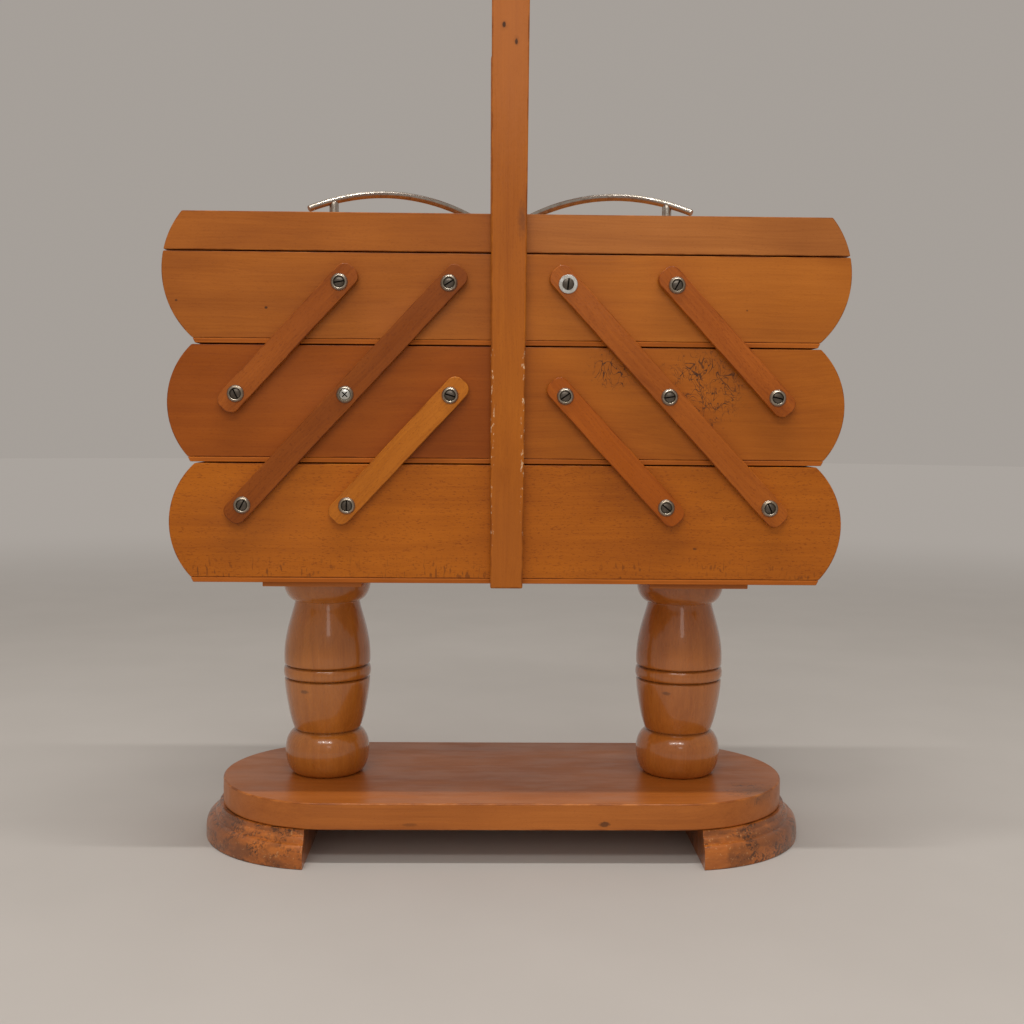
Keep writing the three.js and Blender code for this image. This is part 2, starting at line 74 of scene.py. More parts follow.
class Paint:
    """A material with a Principled shader, and short calls for the nodes that feed it."""

    def __init__(self, name):
        self.material = bpy.data.materials.new(name)
        self.material.use_nodes = True
        self.tree = self.material.node_tree
        self.tree.nodes.clear()
        output = self.tree.nodes.new("ShaderNodeOutputMaterial")
        self.shader = self.tree.nodes.new("ShaderNodeBsdfPrincipled")
        self.tree.links.new(self.shader.outputs["BSDF"], output.inputs["Surface"])
        self.point = self.tree.nodes.new("ShaderNodeTexCoord").outputs["Object"]

    def put(self, socket, value):
        if isinstance(value, bpy.types.NodeSocket):
            self.tree.links.new(value, socket)
        else:
            socket.default_value = value

    def fill(self, node, values):
        for name, value in values.items():
            self.put(node.inputs[name.replace("_", " ")], value)
        return node

    def set(self, **values):
        self.fill(self.shader, values)

    def new(self, kind, **values):
        return self.fill(self.tree.nodes.new(kind), values)

    def math(self, operation, a, b=0.0, clamp=False):
        node = self.tree.nodes.new("ShaderNodeMath")
        node.operation = operation
        node.use_clamp = clamp
        self.put(node.inputs[0], a)
        self.put(node.inputs[1], b)
        return node.outputs[0]

    def product(self, *values):
        result = values[0]
        for value in values[1:]:
            result = self.math("MULTIPLY", result, value)
        return result

    def about_zero(self, value, weight):
        """Moves a 0 to 1 value to both sides of zero, and scales it."""
        return self.math("MULTIPLY", self.math("SUBTRACT", value, 0.5), weight)

    def vector(self, operation, a, b=(0.0, 0.0, 0.0)):
        node = self.tree.nodes.new("ShaderNodeVectorMath")
        node.operation = operation
        self.put(node.inputs[0], a)
        self.put(node.inputs[1], b)
        return node.outputs["Value" if operation == "LENGTH" else "Vector"]

    def turned(self, vector, rotation, shift):
        node = self.new("ShaderNodeMapping", Vector=vector, Rotation=rotation, Location=shift)
        return node.outputs["Vector"]

    def noise(self, vector, scale, detail=2.0, rough=0.5, distortion=0.0):
        stretched = self.vector("MULTIPLY", vector, scale)
        node = self.new(
            "ShaderNodeTexNoise", Vector=stretched, Scale=1.0, Detail=detail, Roughness=rough,
            Distortion=distortion,
        )
        return node.outputs["Fac"]

    def span(self, value, low, high, out_low=0.0, out_high=1.0):
        """A smooth step from out_low at low to out_high at high."""
        node = self.new(
            "ShaderNodeMapRange", Value=value, From_Min=low, From_Max=high, To_Min=out_low, To_Max=out_high,
        )
        node.interpolation_type = "SMOOTHSTEP"
        return node.outputs["Result"]

    def mix(self, share, a, b):
        node = self.tree.nodes.new("ShaderNodeMix")
        node.data_type = "RGBA"
        self.put(node.inputs[0], share)
        self.put(node.inputs[6], a)
        self.put(node.inputs[7], b)
        return node.outputs[2]

    def stain(self, surface, colour, mask, strength):
        """Lays a colour over the surface where the mask is 1."""
        return self.mix(self.product(mask, strength), surface, colour)

    def ramp(self, value, stops):
        node = self.tree.nodes.new("ShaderNodeValToRGB")
        elements = node.color_ramp.elements
        while len(elements) < len(stops):
            elements.new(0.5)
        for element, (position, colour) in zip(elements, stops):
            element.position = position
            element.color = colour
        self.put(node.inputs["Fac"], value)
        return node.outputs["Color"]

    def attribute(self, name):
        node = self.tree.nodes.new("ShaderNodeAttribute")
        node.attribute_name = name
        return node.outputs["Fac"]

    def axis(self, index):
        node = self.tree.nodes.new("ShaderNodeSeparateXYZ")
        self.put(node.inputs[0], self.point)
        return node.outputs[index]

    def bump(self, height, strength, distance):
        node = self.new("ShaderNodeBump", Strength=strength, Distance=distance, Height=height)
        return node.outputs["Normal"]

    def blob(self, centre, radii, soft=0.5, ragged=0.35):
        """1 inside a ragged ellipsoid round a point, 0 outside."""
        offset = self.vector("SUBTRACT", self.point, centre)
        stretched = self.vector("MULTIPLY", offset, tuple(1 / r for r in radii))
        distance = self.vector("LENGTH", stretched)
        wobble = self.noise(self.point, (420.0, 420.0, 420.0), 2.0)
        distance = self.math("ADD", distance, self.about_zero(wobble, ragged * 2))
        return self.span(distance, 1.0 - soft, 1.0, 1.0, 0.0)


def shade(colour, red, green, blue):
    """The colour with its channels scaled, and an alpha of 1."""
    return (min(1.0, colour[0] * red), min(1.0, colour[1] * green), min(1.0, colour[2] * blue), 1.0)


GRAIN_X = (0.0, 0.0, 0.0)
GRAIN_Y = (0.0, 0.0, math.pi / 2)
GRAIN_Z = (0.0, math.pi / 2, 0.0)


def beech(name, colour, grain, seed, gloss=0.38, coat=0.08, figure=0.6, fleck=0.2, wear=0.25,
          shine=0.22, crisp=0.2, features=()):
    """Varnished beech: wavy growth bands, fine streaks, short dark ray flecks and mottled stain. The rounded
    edges are painted paler, as wear and a painted highlight, and darker, as grime and painted shade.

    grain is the rotation that lays the bands along the piece, and seed moves the pattern. Each feature
    is a call that takes the paint and the colour so far and returns the next colour.
    """
    paint = Paint(name)
    shift = (seed * 0.371, seed * 0.517, seed * 0.833)
    along = paint.turned(paint.point, grain, shift)
    warp = paint.noise(along, (5.0, 16.0, 16.0), 2.0)
    lifted = paint.about_zero(warp, 0.02)
    combine = paint.tree.nodes.new("ShaderNodeCombineXYZ")
    paint.put(combine.inputs[1], lifted)
    paint.put(combine.inputs[2], lifted)
    wavy = paint.vector("ADD", along, combine.outputs[0])
    bands = paint.noise(wavy, (3.5, 150.0, 150.0), 3.0, 0.6)
    streaks = paint.noise(wavy, (16.0, 850.0, 850.0), 2.0, 0.6)
    flecks = paint.noise(along, (480.0, 1700.0, 1700.0), 1.0)
    mottle = paint.noise(along, (11.0, 19.0, 19.0), 3.0)

    tone = paint.about_zero(bands, 0.70 * figure)
    tone = paint.math("ADD", tone, paint.about_zero(streaks, 0.55 * figure))
    tone = paint.math("ADD", tone, paint.about_zero(mottle, 0.75))
    tone = paint.math("ADD", tone, 0.5, clamp=True)
    surface = paint.ramp(tone, [
        (0.14, shade(colour, 0.66, 0.58, 0.50)),
        (0.40, shade(colour, 0.90, 0.88, 0.85)),
        (0.58, shade(colour, 1.04, 1.06, 1.06)),
        (0.86, shade(colour, 1.24, 1.34, 1.50)),
    ])
    dashes = paint.product(paint.span(flecks, 0.60, 0.70), fleck)
    surface = paint.mix(dashes, surface, shade(colour, 0.50, 0.38, 0.30))
    for feature in features:
        surface = feature(paint, surface)

    # Rounded edges: paler for wear plus a painted highlight on the rims, darker for grime plus painted shade
    # along edges and gaps
    arris = paint.attribute("arris")
    chips = paint.noise(along, (55.0, 150.0, 150.0), 3.0, 0.6)
    rubbed_and_sheen = paint.product(arris, paint.span(chips, 0.48, 0.68))
    surface = paint.stain(surface, shade(colour, 1.45, 1.75, 2.3), rubbed_and_sheen, wear)
    grime_and_edge_shade = paint.product(arris, paint.span(chips, 0.62, 0.34))
    surface = paint.stain(surface, shade(colour, 0.42, 0.32, 0.25), grime_and_edge_shade, 0.6)

    polish = paint.noise(along, (22.0, 60.0, 60.0), 3.0, 0.6)
    roughness = paint.span(polish, 0.3, 0.7, gloss * 0.82, gloss * 1.3)
    height = paint.math("ADD", paint.product(streaks, 0.5), paint.product(bands, 0.5))
    height = paint.math("SUBTRACT", height, paint.product(dashes, 0.35))
    waviness = paint.noise(paint.point, (38.0, 38.0, 38.0), 2.0)
    height = paint.math("ADD", height, paint.product(waviness, 2.2))
    paint.set(Base_Color=surface, Roughness=roughness, Normal=paint.bump(height, 0.45, 0.00022))
    paint.set(Coat_Weight=coat, Coat_Roughness=crisp, IOR=1.5, Coat_IOR=1.5, Specular_IOR_Level=shine)
    return paint.material


# --- Features painted on single boards ---


# Each of these returns a call that takes the paint and the colour so far, and returns the next colour.
DARK_SPOT = (0.035, 0.016, 0.008, 1.0)
INK = (0.060, 0.024, 0.012, 1.0)
EDGE_MARK = (0.17, 0.045, 0.006, 1.0)
OLD_STAIN = (0.115, 0.036, 0.010, 1.0)
OLD_GRIME = (0.045, 0.018, 0.008, 1.0)
# Pale specks painted on the feet as glints
GLINT_SPECK = (0.60, 0.32, 0.13, 1.0)
BARE_WOOD = (0.78, 0.55, 0.34, 1.0)


def spot(centre, radii, strength=0.8, colour=DARK_SPOT, soft=0.5):
    def paint_spot(paint, surface):
        return paint.stain(surface, colour, paint.blob(centre, radii, soft), strength)
    return paint_spot


def cloud(centre, radii, strength, colour):
    """A soft patch of another tone."""
    def paint_cloud(paint, surface):
        return paint.stain(surface, colour, paint.blob(centre, radii, 0.9, 0.2), strength)
    return paint_cloud


def scribble(centre, radii, scale, strength, seeds=(0.0, 3.1), width=0.013):
    """Thin looping scratches inside a soft ellipse: level lines of slow noises."""
    def paint_scribble(paint, surface):
        region = paint.blob(centre, radii, 0.55, 0.5)
        lines = None
        for seed in seeds:
            moved = paint.vector("ADD", paint.point, (seed, seed * 0.7, seed * 1.3))
            level = paint.noise(moved, (scale, scale, scale * 0.7), 1.0, 0.6, 1.8)
            near = paint.math("ABSOLUTE", paint.math("SUBTRACT", level, 0.5))
            line = paint.span(near, width * 0.35, width, 1.0, 0.0)
            lines = line if lines is None else paint.math("MAXIMUM", lines, line)
        broken = paint.span(paint.noise(paint.point, (120.0, 120.0, 120.0), 2.0), 0.34, 0.50)
        return paint.stain(surface, INK, paint.product(lines, region, broken), strength)
    return paint_scribble


def ticks(low, high, strength):
    """Short dark upright marks in a strip along a lower edge."""
    def paint_ticks(paint, surface):
        strokes = paint.span(paint.noise(paint.point, (560.0, 560.0, 170.0), 1.0), 0.58, 0.68)
        strip = paint.span(paint.axis(2), low, high, 1.0, 0.0)
        patchy = paint.span(paint.noise(paint.point, (26.0, 26.0, 26.0), 1.0), 0.38, 0.55)
        return paint.stain(surface, EDGE_MARK, paint.product(strokes, strip, patchy), strength)
    return paint_ticks


def crackle(strength):
    """Old dark varnish: soft stains, crazed clusters in them, and pale specks painted on as small glints."""
    def paint_crackle(paint, surface):
        stains = paint.span(paint.noise(paint.point, (36.0, 36.0, 60.0), 4.0, 0.62), 0.44, 0.62)
        surface = paint.stain(surface, OLD_STAIN, stains, 0.6)
        near = paint.span(paint.noise(paint.point, (52.0, 52.0, 75.0), 3.0, 0.6), 0.42, 0.58)
        grains = paint.span(paint.noise(paint.point, (520.0, 520.0, 520.0), 3.0, 0.7), 0.47, 0.57)
        surface = paint.stain(surface, OLD_GRIME, paint.product(near, grains), strength)
        # Painted glints: small pale specks over the varnish
        pale = paint.span(paint.noise(paint.point, (560.0, 560.0, 560.0), 2.0), 0.64, 0.71)
        return paint.stain(surface, GLINT_SPECK, pale, 0.45)
    return paint_crackle


def edge_flecks(low, high, inner, strength=0.9):
    """Pale chips down the long edges of an upright post, between two heights."""
    def paint_flecks(paint, surface):
        side = paint.span(paint.math("ABSOLUTE", paint.axis(0)), inner, inner + 0.0014)
        level = paint.axis(2)
        above = paint.span(level, low, low + 0.02)
        below = paint.span(level, high - 0.02, high, 1.0, 0.0)
        chips = paint.span(paint.noise(paint.point, (620.0, 620.0, 300.0), 2.0, 0.6), 0.60, 0.66)
        mask = paint.product(side, paint.product(above, below), chips)
        return paint.stain(surface, BARE_WOOD, mask, strength)
    return paint_flecks


# --- Other materials ---


def plywood(name, colour, base_z, thickness, seed):
    """Three-ply: a dark cross ply between two glue lines, seen along its edges."""
    paint = Paint(name)
    along = paint.turned(paint.point, GRAIN_X, (seed, seed * 0.7, 0.0))
    height = paint.math("DIVIDE", paint.math("SUBTRACT", paint.axis(2), base_z), thickness)
    plies = paint.ramp(height, [
        (0.0, shade(colour, 1.0, 1.0, 1.0)),
        (0.28, shade(colour, 0.96, 0.94, 0.9)),
        (0.35, shade(colour, 0.66, 0.58, 0.50)),
        (0.42, shade(colour, 0.86, 0.82, 0.76)),
        (0.60, shade(colour, 0.84, 0.80, 0.74)),
        (0.67, shade(colour, 0.66, 0.58, 0.50)),
        (0.74, shade(colour, 1.05, 1.06, 1.05)),
    ])
    streaks = paint.noise(along, (12.0, 500.0, 500.0), 3.0, 0.6)
    mottle = paint.noise(along, (22.0, 30.0, 30.0), 3.0)
    surface = paint.mix(paint.span(streaks, 0.35, 0.65, 0.0, 0.35), plies, shade(colour, 0.55, 0.45, 0.36))
    surface = paint.mix(paint.span(mottle, 0.35, 0.7, 0.0, 0.4), surface, shade(colour, 1.3, 1.35, 1.4))
    paint.set(Base_Color=surface, Roughness=paint.span(mottle, 0.3, 0.7, 0.45, 0.68))
    paint.set(Normal=paint.bump(streaks, 0.5, 0.0002), Specular_IOR_Level=0.2)
    return paint.material


def nickel(name, colour, rough_low, rough_high, tarnish, seed=0.0):
    """Plated metal, lightly tarnished, with fine rubbing marks."""
    paint = Paint(name)
    moved = paint.vector("ADD", paint.point, (seed, seed, seed))
    patches = paint.noise(moved, (240.0, 240.0, 240.0), 3.0, 0.6)
    pits = paint.span(paint.noise(moved, (1900.0, 1900.0, 1900.0), 2.0), 0.60, 0.70)
    rubbed_and_sheen = paint.noise(moved, (300.0, 2600.0, 2600.0), 2.0)
    dull = shade(colour, 0.52, 0.44, 0.33)
    surface = paint.mix(paint.span(patches, 0.40, 0.68, 0.0, tarnish), (*colour, 1.0), dull)
    surface = paint.stain(surface, (0.09, 0.07, 0.05, 1.0), pits, tarnish)
    dulled = paint.span(patches, 0.35, 0.65, rough_low, rough_high)
    roughness = paint.math("ADD", dulled, paint.product(pits, 0.2))
    height = paint.math("ADD", paint.product(rubbed_and_sheen, 0.5), paint.product(pits, -0.6))
    paint.set(Base_Color=surface, Metallic=1.0, Roughness=roughness, Normal=paint.bump(height, 0.3, 0.00006))
    return paint.material


# --- Mesh helpers ---


def fresh():
    """An empty mesh whose faces can be marked as rounded edges."""
    bm = bmesh.new()
    bm.faces.layers.float.new("arris")
    return bm


def soften(bm, faces, width, segments, angle=28.0):
    """Rounds the sharp edges of these faces, and marks the narrow faces that this makes."""
    if not width:
        return
    bm.normal_update()
    found = set(faces)
    edges = [
        edge for edge in {e for f in faces for e in f.edges}
        if len(edge.link_faces) == 2 and all(f in found for f in edge.link_faces)
        and edge.calc_face_angle(0.0) > math.radians(angle)
    ]
    made = bmesh.ops.bevel(
        bm, geom=edges, offset=width, offset_type="OFFSET", segments=segments, profile=0.5,
        affect="EDGES", clamp_overlap=True, loop_slide=True,
    )
    layer = bm.faces.layers.float["arris"]
    for face in made["faces"]:
        face[layer] = 1.0


def prism(bm, outline, near, far, width=0.0006, segments=2, place=None):
    """A solid between two copies of an outline, its sharp edges rounded.

    Points are (x, z) and depth is y, unless place maps (first, second, depth) elsewhere.
    """
    place = place or (lambda x, z, y: (x, y, z))
    front = [bm.verts.new(place(x, z, near)) for x, z in outline]
    back = [bm.verts.new(place(x, z, far)) for x, z in outline]
    faces = [bm.faces.new(front), bm.faces.new(list(reversed(back)))]
    for i in range(len(outline)):
        j = (i + 1) % len(outline)
        faces.append(bm.faces.new((front[j], front[i], back[i], back[j])))
    bmesh.ops.recalc_face_normals(bm, faces=faces)
    soften(bm, faces, width, segments)


def block(bm, low, high, width=0.0005, segments=2):
    outline = [(low[0], low[2]), (high[0], low[2]), (high[0], high[2]), (low[0], high[2])]
    prism(bm, outline, low[1], high[1], width, segments)


def stitch(bm, rings):
    """Joins each ring of vertices to the next. A ring of one vertex is a tip."""
    sides = max(len(ring) for ring in rings)
    faces = []
    for lower, upper in zip(rings, rings[1:]):
        for i in range(sides):
            j = (i + 1) % sides
            around = ((lower, i), (lower, j), (upper, j), (upper, i))
            corners = list(dict.fromkeys(ring[k % len(ring)] for ring, k in around))
            if len(corners) > 2:
                faces.append(bm.faces.new(corners))
    return faces


def lathe(bm, profile, sides, place=None):
    """A solid of revolution. profile is (radius, height) from one end to the other.

    place maps (x, y, height) elsewhere.
    """
    place = place or (lambda x, y, h: (x, y, h))
    angles = [2 * math.pi * i / sides for i in range(sides)]
    rings = []
    for radius, height in profile:
        if radius <= 1e-7:
            rings.append([bm.verts.new(place(0.0, 0.0, height))])
            continue
        circle = [(radius * math.cos(a), radius * math.sin(a)) for a in angles]
        rings.append([bm.verts.new(place(x, y, height)) for x, y in circle])
    faces = stitch(bm, rings)
    if len(rings[0]) > 1:
        faces.append(bm.faces.new(list(reversed(rings[0]))))
    if len(rings[-1]) > 1:
        faces.append(bm.faces.new(rings[-1]))
    bmesh.ops.recalc_face_normals(bm, faces=faces)


def between(p, q, r, s, t):
    """Catmull-Rom: the value a share t of the way from q to r."""
    square = (2 * p - 5 * q + 4 * r - s) * t * t
    cube = (3 * q - p - 3 * r + s) * t ** 3
    return 0.5 * (2 * q + (r - p) * t + square + cube)


def smooth_curve(points, steps=5):
    """A smooth line through the points."""
    result = []
    padded = [points[0], *points, points[-1]]
    for around in zip(padded, padded[1:], padded[2:], padded[3:]):
        for i in range(steps):
            result.append(tuple(between(*values, i / steps) for values in zip(*around)))
    result.append(points[-1])
    return result


def plain_object(name, bm):
    mesh = bpy.data.meshes.new(name)
    bm.to_mesh(mesh)
    bm.free()
    thing = bpy.data.objects.new(name, mesh)
    bpy.context.scene.collection.objects.link(thing)
    return thing


def finish_piece(name, bm, materials, body, replaced=(), sharp=35.0):
    """Makes the object, which moves with its body and takes the place of the CAD nodes in replaced."""
    piece = plain_object(name, bm)
    for material in materials:
        piece.data.materials.append(material)
    piece.data.polygons.foreach_set("use_smooth", [True] * len(piece.data.polygons))
    piece.data.set_sharp_from_angle(angle=math.radians(sharp))
    weighted = piece.modifiers.new("face_normals", "WEIGHTED_NORMAL")
    weighted.keep_sharp = True
    weighted.weight = 80
    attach(piece, body)
    if replaced:
        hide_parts(*replaced)


def wooden(node, bm, body, colour, grain, seed, slot="beech", sharp=35.0, **look):
    """A beech piece in the place of one CAD node."""
    paint = beech(f"{node}_beech", colour, grain, seed, **look)
    finish_piece(f"{node}_wood", bm, [paint], body, [node], sharp)


# --- Outlines ---


# The convex end of a board is an arc, kept as (how far out from the middle it comes, radius, height
# of its centre).
def arc_x(z, reach, radius, centre):
    """How far out the arc is at a height."""
    return reach - radius + math.sqrt(radius ** 2 - (z - centre) ** 2)


def end_arc(z0, z1, reach, radius, centre, steps=22):
    first = math.asin((z0 - centre) / radius)
    last = math.asin((z1 - centre) / radius)
    angles = [first + (last - first) * i / steps for i in range(steps + 1)]
    return [(reach - radius + radius * math.cos(a), centre + radius * math.sin(a)) for a in angles]


def mirrored(points, sign):
    return [(sign * x, z) for x, z in points]


def tray_outline(z0, z1, arc, sign, inner_x):
    """A board that is straight at inner_x and convex at its outer end."""
    return mirrored([(inner_x, z1), (inner_x, z0), *end_arc(z0, z1, *arc)], sign)


bottom_low, bottom_high = limits("bottom_front_board")
floor_low = limits("bottom_floor")[0]
BOTTOM_ARC = (bottom_high[0], END_RADIUS, (floor_low[2] + bottom_high[2]) / 2)
middle_floor_low = limits("middle_tray_right_floor")[0]
middle_high = limits("middle_tray_right_front")[1]
MIDDLE_ARC = (middle_high[0], END_RADIUS, (middle_floor_low[2] + middle_high[2]) / 2)
top_high = limits("top_tray_right_front")[1]
TOP_ARC = (top_high[0], TOP_RADIUS, top_high[2] - TOP_ARC_DROP)


# --- Stand ---

STAND = "stand_and_box"
STAND_COLOUR = (0.44, 0.130, 0.020)

# How far each point of the foot's moulding lies inside its widest line, and its height
FOOT_PROFILE = [
    (0.0006, 0.0), (0.0, 0.0006), (0.0, 0.0070), (0.0002, 0.0088), (0.0006, 0.0108), (0.0014, 0.0128),
    (0.0027, 0.0143), (0.0042, 0.0150), (0.0057, 0.0152), (0.0060, 0.0158), (0.0062, 0.0168),
    (0.0067, 0.0178), (0.0076, 0.0186), (0.0088, 0.0191), (0.0092, 0.0196), (0.0092, 0.0225),
]

# The leg's turning, from the bun to the cap, as (radius, height)
LEG_BUN = [
    (0.0222, 0.0), (0.0246, 0.0016), (0.0268, 0.0052), (0.0282, 0.0098), (0.0288, 0.0150),
    (0.0285, 0.0198), (0.0273, 0.0242), (0.0250, 0.0280), (0.0226, 0.0300),
]
LEG_BARREL = [
    (0.0219, 0.0304), (0.0227, 0.0313), (0.0239, 0.0345), (0.0256, 0.0405), (0.0270, 0.0475),
    (0.0282, 0.0545), (0.0289, 0.0600), (0.0292, 0.0645), (0.0290, 0.0656),
]
LEG_BEAD = [
    (0.0277, 0.0664), (0.0290, 0.0671), (0.0296, 0.0684), (0.0298, 0.0705), (0.0296, 0.0727),
    (0.0290, 0.0741),
]
LEG_UPPER = [
    (0.0277, 0.0749), (0.0290, 0.0758), (0.0294, 0.0775), (0.0294, 0.0830), (0.0288, 0.0900),
    (0.0275, 0.0975), (0.0258, 0.1045), (0.0241, 0.1105), (0.0227, 0.1155), (0.0220, 0.1188),
]
LEG_CAP = [
    (0.0220, 0.1190), (0.0239, 0.1199), (0.0259, 0.1216), (0.0276, 0.1241), (0.0288, 0.1270),
    (0.0295, 0.1302), (0.0298, 0.1335), (0.0298, 0.1368), (0.0296, 0.1379),
]

# The heights of the grooves, the painted shade in them, and the stand's colours
LEG_GROOVES = (0.0303, 0.0664, 0.0749)
GROOVE_SHADE = (0.12, 0.035, 0.008, 1.0)
FOOT_COLOUR = (0.45, 0.128, 0.018)
LEG_COLOURS = {"left": (0.45, 0.148, 0.022), "right": (0.42, 0.130, 0.020)}
PLATE_COLOUR = (0.40, 0.125, 0.028)


def stadium(radius, straight, steps=48):
    """Two half circles of a radius round points at -straight and +straight."""
    right = [-math.pi / 2 + math.pi * i / steps for i in range(steps + 1)]
    points = [(straight + radius * math.cos(a), radius * math.sin(a)) for a in right]
    return points + [(-x, -y) for x, y in points]


def build_base_board():
    low, high = limits("base_board")
    radius = (high[1] - low[1]) / 2
    straight = high[0] - radius
    bm = fresh()
    prism(bm, stadium(radius, straight), low[2], high[2], 0.0011, 3, place=lambda x, y, h: (x, y, h))
    features = [
        scribble((0.162, -0.048, high[2]), (0.022, 0.024, 0.01), 62.0, 0.75),
        cloud((0.166, -0.052, high[2]), (0.020, 0.022, 0.01), 0.35, (0.10, 0.07, 0.05, 1.0)),
        spot((0.064, low[1], 0.0268), (0.0045, 0.004, 0.0022), 0.7),
        spot((-0.06, low[1], 0.0262), (0.006, 0.004, 0.0014), 0.35),
    ]
    paint = beech(
        "base_board_beech", STAND_COLOUR, GRAIN_X, 1.0, gloss=0.36, coat=0.12, wear=0.3, shine=0.3,
        crisp=0.16, features=features,
    )
    finish_piece("base_board_top", bm, [paint], STAND, ["base_board"])


def build_foot(side, sign):
    """The outer part of a moulded disc, cut straight where it faces the other foot."""
    node = f"foot_{side}"
    low, high = limits(node)
    radius = (high[1] - low[1]) / 2
    outer = high[0] if sign > 0 else low[0]
    centre = outer - sign * radius
    cut = low[0] if sign > 0 else high[0]
    bm = fresh()
    profile = [(radius - inset, height) for inset, height in FOOT_PROFILE]
    lathe(bm, profile, 160, place=lambda x, y, h: (centre + x, y, h))
    cutting = bmesh.ops.bisect_plane(
        bm, geom=bm.verts[:] + bm.edges[:] + bm.faces[:], plane_co=(cut, 0.0, 0.0),
        plane_no=(-sign, 0.0, 0.0), clear_outer=True, dist=1e-6,
    )
    rim = [e for e in cutting["geom_cut"] if isinstance(e, bmesh.types.BMEdge)]
    bmesh.ops.contextual_create(bm, geom=rim)
    bmesh.ops.recalc_face_normals(bm, faces=bm.faces[:])
    bm.normal_update()
    edges = [
        e for e in bm.edges
        if len(e.link_faces) == 2 and all(abs(v.co.x - cut) < 1e-6 for v in e.verts)
        and e.calc_face_angle(0.0) > 0.6
    ]
    made = bmesh.ops.bevel(
        bm, geom=edges, offset=0.0005, segments=2, profile=0.5, affect="EDGES", clamp_overlap=True,
    )
    layer = bm.faces.layers.float["arris"]
    for face in made["faces"]:
        face[layer] = 1.0
    corner = (centre + sign * 0.07, -0.05, 0.012)
    features = [crackle(0.85), cloud(corner, (0.035, 0.05, 0.014), 0.45, (0.13, 0.045, 0.02, 1.0))]
    paint = beech(
        f"{node}_beech", FOOT_COLOUR, GRAIN_X, 4.0 + sign, gloss=0.33, coat=0.35, figure=0.9, wear=0.6,
        shine=0.4, crisp=0.15, features=features,
    )
    finish_piece(f"{node}_moulding", bm, [paint], STAND, [node], sharp=50.0)


def grooves(base):
    """Painted shade in the leg's turned grooves: a dark band round each one."""
    def paint_grooves(paint, surface):
        level = paint.axis(2)
        for height in LEG_GROOVES:
            near = paint.math("ABSOLUTE", paint.math("SUBTRACT", level, base + height))
            surface = paint.mix(paint.span(near, 0.0002, 0.0016, 0.55, 0.0), surface, GROOVE_SHADE)
        return surface
    return paint_grooves


def build_leg(side, sign):
    node = f"leg_{side}"
    low, high = limits(node)
    centre = (low[0] + high[0]) / 2
    base = low[2]
    profile = [
        (0.0, 0.0), *smooth_curve(LEG_BUN), *smooth_curve(LEG_BARREL), *smooth_curve(LEG_BEAD, 4),
        *smooth_curve(LEG_UPPER), *smooth_curve(LEG_CAP), (0.0292, 0.1379),
    ]
    bm = fresh()
    lathe(bm, profile, 72, place=lambda x, y, h: (centre + x, y, base + h))
    features = [grooves(base), spot((centre - 0.012, -0.024, base + 0.060), (0.004, 0.01, 0.0016), 0.5)]
    paint = beech(
        f"{node}_beech", LEG_COLOURS[side], GRAIN_Z, 11.0 + sign * 2.3, gloss=0.24, coat=0.75, figure=0.8,
        wear=0.2, shine=0.4, crisp=0.05, features=features,
    )
    finish_piece(f"{node}_turning", bm, [paint], STAND, [node], sharp=60.0)


def build_leg_plate(side):
    node = f"leg_plate_{side}"
    low, high = limits(node)
    bm = fresh()
    block(bm, low, high, 0.0003, 1)
    paint = plywood(f"{node}_ply", PLATE_COLOUR, low[2], high[2] - low[2], 2.0)
    finish_piece(f"{node}_sheet", bm, [paint], STAND, [node])


# --- Bottom box, trays and lids ---


FLOOR_COLOUR = (0.44, 0.118, 0.012)
FLOOR_END_SLOPE = 0.0015
BOTTOM_COLOUR = (0.430, 0.114, 0.005)


def board_piece(node, outline, colour, body, seed, features=(), **look):
    low, high = limits(node)
    bm = fresh()
    prism(bm, outline, low[1], high[1], 0.0007, 2)
    wooden(node, bm, body, colour, GRAIN_X, seed, features=features, **look)


def recessed_end(bm, outline, y0, y1, recess):
    """An end board along y, with a lower or raised outline where the hinge leaf is let in."""
    for near, far in ((y0, -RECESS_HALF), (RECESS_HALF, y1)):
        prism(bm, outline, near, far, 0.0005, 2)
    prism(bm, recess, -RECESS_HALF, RECESS_HALF, 0.0004, 1)


def end_piece(node, outline, colour, body, seed, recessed=False):
    low, high = limits(node)
    bm = fresh()
    if recessed:
        lowered = [(x, min(z, high[2] - RECESS_DEPTH)) for x, z in outline]
        recessed_end(bm, outline, low[1], high[1], lowered)
    else:
        prism(bm, outline, low[1], high[1], 0.0005, 2)
    wooden(node, bm, body, colour, GRAIN_Y, seed)


def floor_piece(node, arc, sign, inner_x, body, both=False):
    """A thin floor with its outer end sloping out to meet the boards, or both ends."""
    low, high = limits(node)
    corner = arc_x(high[2], *arc)
    toe = corner - FLOOR_END_SLOPE
    if both:
        outline = [(-toe, low[2]), (toe, low[2]), (corner, high[2]), (-corner, high[2])]
    else:
        outline = mirrored([(inner_x, high[2]), (inner_x, low[2]), (toe, low[2]), (corner, high[2])], sign)
    bm = fresh()
    prism(bm, outline, low[1], high[1], 0.0003, 1)
    paint = plywood(f"{node}_ply", FLOOR_COLOUR, low[2], high[2] - low[2], 5.0 + sign)
    finish_piece(f"{node}_sheet", bm, [paint], body, [node])


